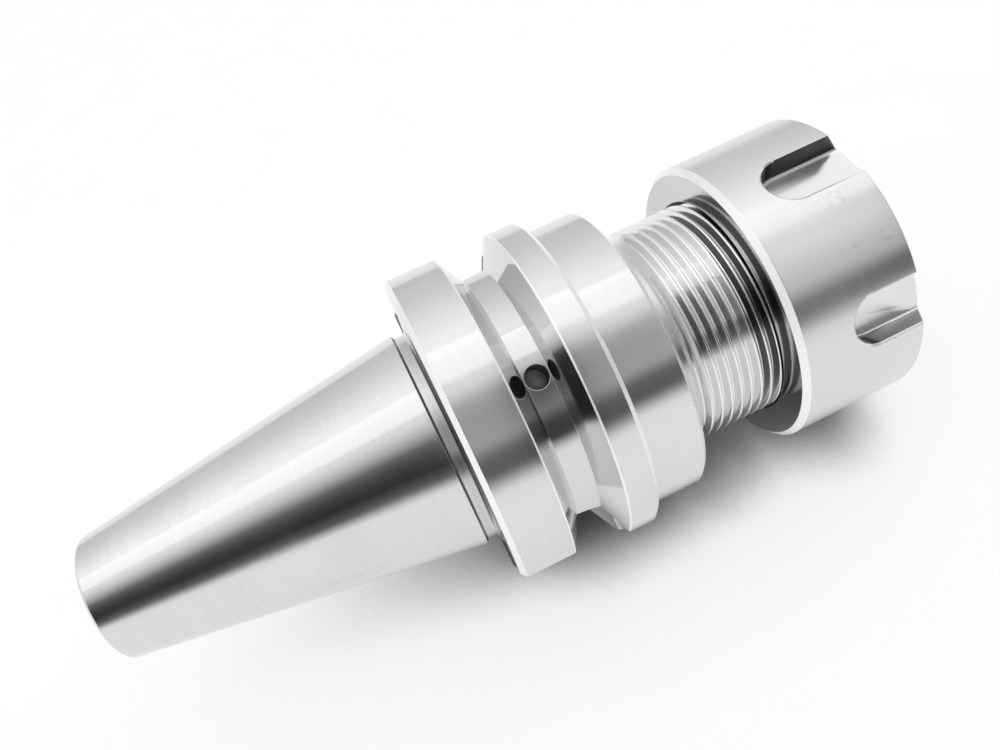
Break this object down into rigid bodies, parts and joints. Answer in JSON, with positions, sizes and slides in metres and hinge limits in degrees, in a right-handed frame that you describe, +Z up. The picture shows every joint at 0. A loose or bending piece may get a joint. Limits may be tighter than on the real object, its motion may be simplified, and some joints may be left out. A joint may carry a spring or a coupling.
{
  "type": "collet chuck holder",
  "caption": "Steel tool holder with a 7/24 spindle taper, grooved flange, threaded nose, spring collet and slotted clamping nut.",
  "frame": {"origin": "centre of the gauge line of the spindle taper, on the axis", "axes": "+X along the axis, from the taper to the nut; +Z up as the holder lies on its flange, with the small blind hole of the groove 35 degrees from +Z toward -Y"},
  "size_m": [0.1129, 0.046, 0.046],
  "materials": {
    "ground_steel": "hardened, fine ground and polished",
    "nut_steel": "fine turned and polished",
    "spring_steel": "ground spring steel"
  },
  "bodies": {
    "holder": {"holder_body": "ground_steel"},
    "collet": {"collet": "spring_steel"},
    "nut": {"clamping_nut": "nut_steel"}
  },
  "joints": [
    {"name": "collet_travel", "type": "slide", "parent": "holder", "child": "collet", "axis": [1, 0, 0], "range_m": [-0.00453, 0.00603]},
    {"name": "nut_turn", "type": "hinge", "parent": "collet", "child": "nut", "pos_m": [0.0545, 0, 0], "axis": [1, 0, 0], "range_deg": [-1080, 1440]}
  ],
  "couplings": [
    {"joint": "collet_travel", "follows": "nut_turn", "m_per_rad": 0.00023873}
  ]
}
